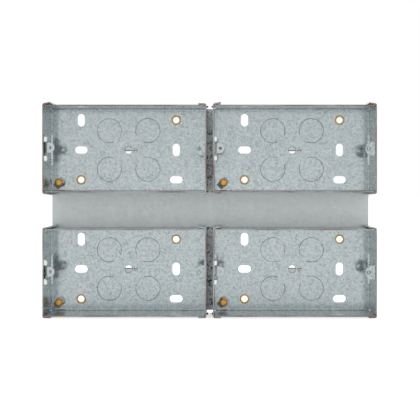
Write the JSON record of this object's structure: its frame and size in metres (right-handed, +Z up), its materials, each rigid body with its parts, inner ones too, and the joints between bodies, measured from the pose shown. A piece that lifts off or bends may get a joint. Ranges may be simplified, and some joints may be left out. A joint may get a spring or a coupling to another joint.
{
  "type": "back box assembly",
  "caption": "Flush steel back boxes for wiring accessories, riveted side by side and one above the other to a flat back plate, with sliding faceplate lugs and brass earth screws.",
  "frame": {"origin": "middle of the rear face of the back plate", "axes": "+X to the right and +Z up as the boxes sit in a wall, the open fronts face -Y"},
  "size_m": [0.2738, 0.0362, 0.1754],
  "materials": {
    "box_zinc": "hot dip zinc with fine spangle",
    "plate_zinc": "smooth dull zinc",
    "lug_zinc": "bright zinc",
    "screw_brass": "turned brass",
    "eyelet_brass": "rolled brass"
  },
  "bodies": {
    "root": {"back_plate": "plate_zinc", "box_top_left": "box_zinc", "earth_screw_top_left": "screw_brass", "eyelet_top_left_low": "eyelet_brass", "eyelet_top_left_high": "eyelet_brass", "box_top_right": "box_zinc", "earth_screw_top_right": "screw_brass", "eyelet_top_right_low": "eyelet_brass", "eyelet_top_right_high": "eyelet_brass", "box_bottom_left": "box_zinc", "earth_screw_bottom_left": "screw_brass", "eyelet_bottom_left_low": "eyelet_brass", "eyelet_bottom_left_high": "eyelet_brass", "box_bottom_right": "box_zinc", "earth_screw_bottom_right": "screw_brass", "eyelet_bottom_right_low": "eyelet_brass", "eyelet_bottom_right_high": "eyelet_brass"},
    "lug_top_left": {"sliding_lug_top_left": "lug_zinc"},
    "lug_top_right": {"sliding_lug_top_right": "lug_zinc"},
    "lug_bottom_left": {"sliding_lug_bottom_left": "lug_zinc"},
    "lug_bottom_right": {"sliding_lug_bottom_right": "lug_zinc"}
  },
  "joints": [
    {"name": "lug_top_left_slide", "type": "slide", "parent": "root", "child": "lug_top_left", "axis": [0, 0, 1], "range_m": [-0.00235, 0.00065]},
    {"name": "lug_top_right_slide", "type": "slide", "parent": "root", "child": "lug_top_right", "axis": [0, 0, 1], "range_m": [-0.0018, 0.0012]},
    {"name": "lug_bottom_left_slide", "type": "slide", "parent": "root", "child": "lug_bottom_left", "axis": [0, 0, 1], "range_m": [-0.00215, 0.00085]},
    {"name": "lug_bottom_right_slide", "type": "slide", "parent": "root", "child": "lug_bottom_right", "axis": [0, 0, 1], "range_m": [-0.00245, 0.00055]}
  ]
}
